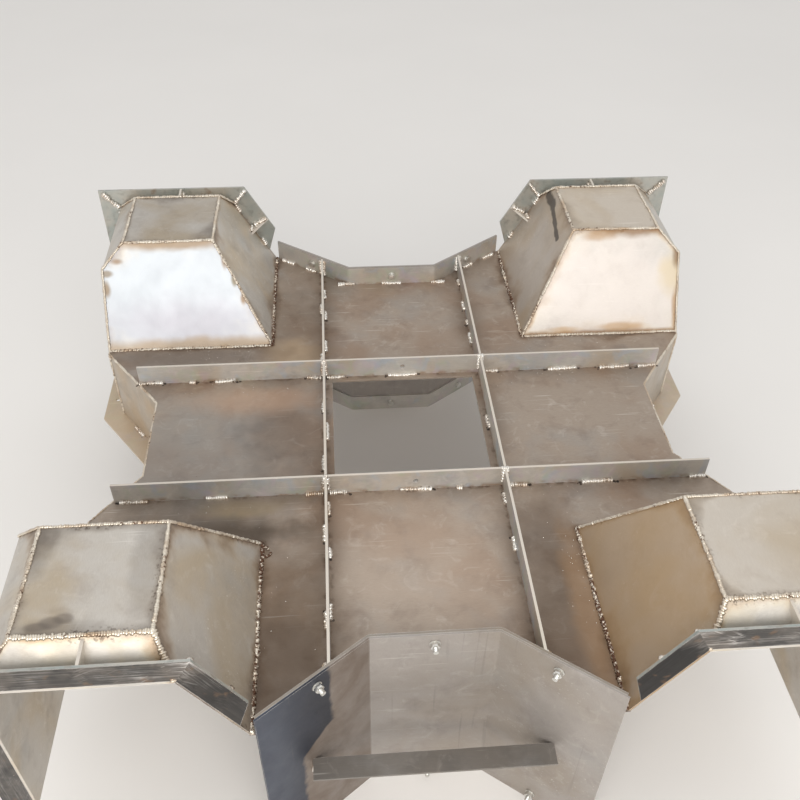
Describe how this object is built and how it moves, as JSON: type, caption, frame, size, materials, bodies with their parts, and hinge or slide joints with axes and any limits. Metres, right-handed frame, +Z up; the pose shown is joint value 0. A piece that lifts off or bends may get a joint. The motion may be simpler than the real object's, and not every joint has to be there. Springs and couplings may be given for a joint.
{
  "type": "steel mould half for a four-legged hollow square armour block",
  "caption": "Welded steel mould half for a hollow square sea-defence block: face plate with ribs, raised tapered legs, side notches and bolted notch panels.",
  "frame": {"origin": "middle of the plan, at the level of the floor that the two notch panels stand on", "axes": "+Z up; legs up; +Y towards the back notch panel; +X to the right-hand welded side"},
  "size_m": [1.82, 1.7152, 0.822],
  "materials": {
    "sheet": "raw mild steel sheet, unpainted, with weld heat tint",
    "flat_bar": "raw hot-rolled mild steel flat bar and angle, unpainted"
  },
  "bodies": {
    "root": {"brace_back": "flat_bar", "brace_front": "flat_bar", "cross_rib_back_left": "flat_bar", "cross_rib_back_middle": "flat_bar", "cross_rib_back_right": "flat_bar", "cross_rib_front_left": "flat_bar", "cross_rib_front_middle": "flat_bar", "cross_rib_front_right": "flat_bar", "end_flange_back_left": "flat_bar", "end_flange_back_right": "flat_bar", "end_flange_front_left": "flat_bar", "end_flange_front_right": "flat_bar", "face_plate": "sheet", "foot_bar_back": "flat_bar", "foot_bar_front": "flat_bar", "leg_end_chamfer_back_left": "sheet", "leg_end_chamfer_back_right": "sheet", "leg_end_chamfer_front_left": "sheet", "leg_end_chamfer_front_right": "sheet", "leg_inner_wall_x_back_left": "sheet", "leg_inner_wall_x_back_right": "sheet", "leg_inner_wall_x_front_left": "sheet", "leg_inner_wall_x_front_right": "sheet", "leg_inner_wall_y_back_left": "sheet", "leg_inner_wall_y_back_right": "sheet", "leg_inner_wall_y_front_left": "sheet", "leg_inner_wall_y_front_right": "sheet", "leg_side_plate_back_left": "sheet", "leg_side_plate_back_right": "sheet", "leg_side_plate_front_left": "sheet", "leg_side_plate_front_right": "sheet", "leg_top_plate_back_left": "sheet", "leg_top_plate_back_right": "sheet", "leg_top_plate_front_left": "sheet", "leg_top_plate_front_right": "sheet", "long_rib_left": "flat_bar", "long_rib_right": "flat_bar", "notch_flange_back": "flat_bar", "notch_flange_front": "flat_bar", "notch_panel_back": "sheet", "notch_panel_front": "sheet", "notch_wall_left_back": "sheet", "notch_wall_left_front": "sheet", "notch_wall_left_middle": "sheet", "notch_wall_right_back": "sheet", "notch_wall_right_front": "sheet", "notch_wall_right_middle": "sheet", "parting_flange_left": "flat_bar", "parting_flange_right": "flat_bar", "parting_gusset_left": "flat_bar", "parting_gusset_right": "flat_bar", "slant_gusset_back_left": "flat_bar", "slant_gusset_back_right": "flat_bar", "slant_gusset_front_left": "flat_bar", "slant_gusset_front_right": "flat_bar", "top_gusset_back_left": "flat_bar", "top_gusset_back_right": "flat_bar", "top_gusset_front_left": "flat_bar", "top_gusset_front_right": "flat_bar"}
  },
  "joints": []
}
